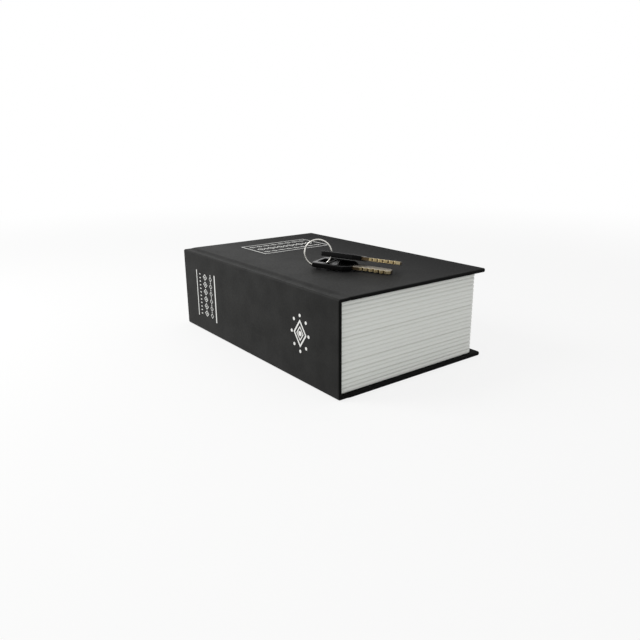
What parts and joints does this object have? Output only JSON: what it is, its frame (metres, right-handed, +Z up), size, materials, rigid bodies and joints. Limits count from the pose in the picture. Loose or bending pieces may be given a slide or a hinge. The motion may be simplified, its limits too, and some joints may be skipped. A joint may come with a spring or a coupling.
{
  "type": "book diversion safe",
  "caption": "Hardback book whose cover opens on a steel tray with a hinged, key-locked steel lid; loose keys on a split ring lie on the cover.",
  "frame": {"origin": "middle of the back cover's outer face, on which the book lies", "axes": "+X from the spine to the fore-edge, +Y from the tail to the head, +Z up through the covers"},
  "size_m": [0.115, 0.18, 0.0737],
  "materials": {
    "leathercloth": "black embossed leathercloth, matte",
    "greyboard": "bare greyboard",
    "endpaper": "smooth white paper",
    "black_paper": "black lining paper with a fine grain",
    "page_paper": "white, ribbed like page edges",
    "black_enamel": "black stoved enamel, semi-gloss",
    "zinc_plate": "bright zinc plating",
    "nickel_plate": "nickel plating",
    "brass": "plain brass",
    "black_plastic": "moulded black plastic"
  },
  "bodies": {
    "case": {"back_board": "greyboard", "back_cloth": "leathercloth", "back_endpaper": "black_paper", "back_joint_cloth": "leathercloth", "spine_board": "greyboard", "spine_cloth": "leathercloth", "page_block": "page_paper", "tray": "black_enamel", "tray_liner": "black_paper", "catch_strip": "black_enamel", "hinge_rivet_tail": "zinc_plate", "hinge_rivet_head": "zinc_plate"},
    "front_cover": {"front_board": "greyboard", "front_cloth": "leathercloth", "front_endpaper": "endpaper", "front_joint_cloth": "leathercloth"},
    "lid": {"lid_plate": "black_enamel", "lock_body": "zinc_plate", "lock_washer": "zinc_plate", "lock_nut": "zinc_plate"},
    "lock_core": {"lock_plug": "nickel_plate", "stop_washer": "zinc_plate", "lock_cam": "zinc_plate", "tooth_washer": "zinc_plate", "cam_screw": "brass"},
    "ring": {"key_ring": "nickel_plate"},
    "lower_key": {"lower_key_head": "black_plastic", "lower_key_blade": "nickel_plate"},
    "upper_key": {"upper_key_head": "black_plastic", "upper_key_blade": "nickel_plate"}
  },
  "joints": [
    {"name": "cover_hinge", "type": "hinge", "parent": "case", "child": "front_cover", "pos_m": [-0.0563, 0, 0.0548], "axis": [0, -1, 0], "range_deg": [0, 180]},
    {"name": "lid_hinge", "type": "hinge", "parent": "case", "child": "lid", "pos_m": [-0.04878, 0, 0.0465], "axis": [0, -1, 0], "range_deg": [0, 95.1]},
    {"name": "lock_turn", "type": "hinge", "parent": "lid", "child": "lock_core", "pos_m": [0.0245, 0, 0.04], "axis": [0, 0, 1], "range_deg": [0, 90]},
    {"name": "ring_lift", "type": "slide", "parent": "front_cover", "child": "ring", "axis": [0, 0, 1], "range_m": [0, 0.008]},
    {"name": "upper_key_turn", "type": "hinge", "parent": "ring", "child": "upper_key", "pos_m": [-0.02, -0.0227, 0.06495], "axis": [-0.6157, -0.788, 0], "range_deg": [0, 39]},
    {"name": "lower_key_turn", "type": "hinge", "parent": "ring", "child": "lower_key", "pos_m": [-0.02, -0.0227, 0.06495], "axis": [-0.6157, -0.788, 0], "range_deg": [0, 13.5]}
  ],
  "couplings": [
    {"joint": "lid_hinge", "follows": "cover_hinge", "ratio": 0.52778},
    {"joint": "lower_key_turn", "follows": "upper_key_turn", "ratio": 0.33333}
  ]
}
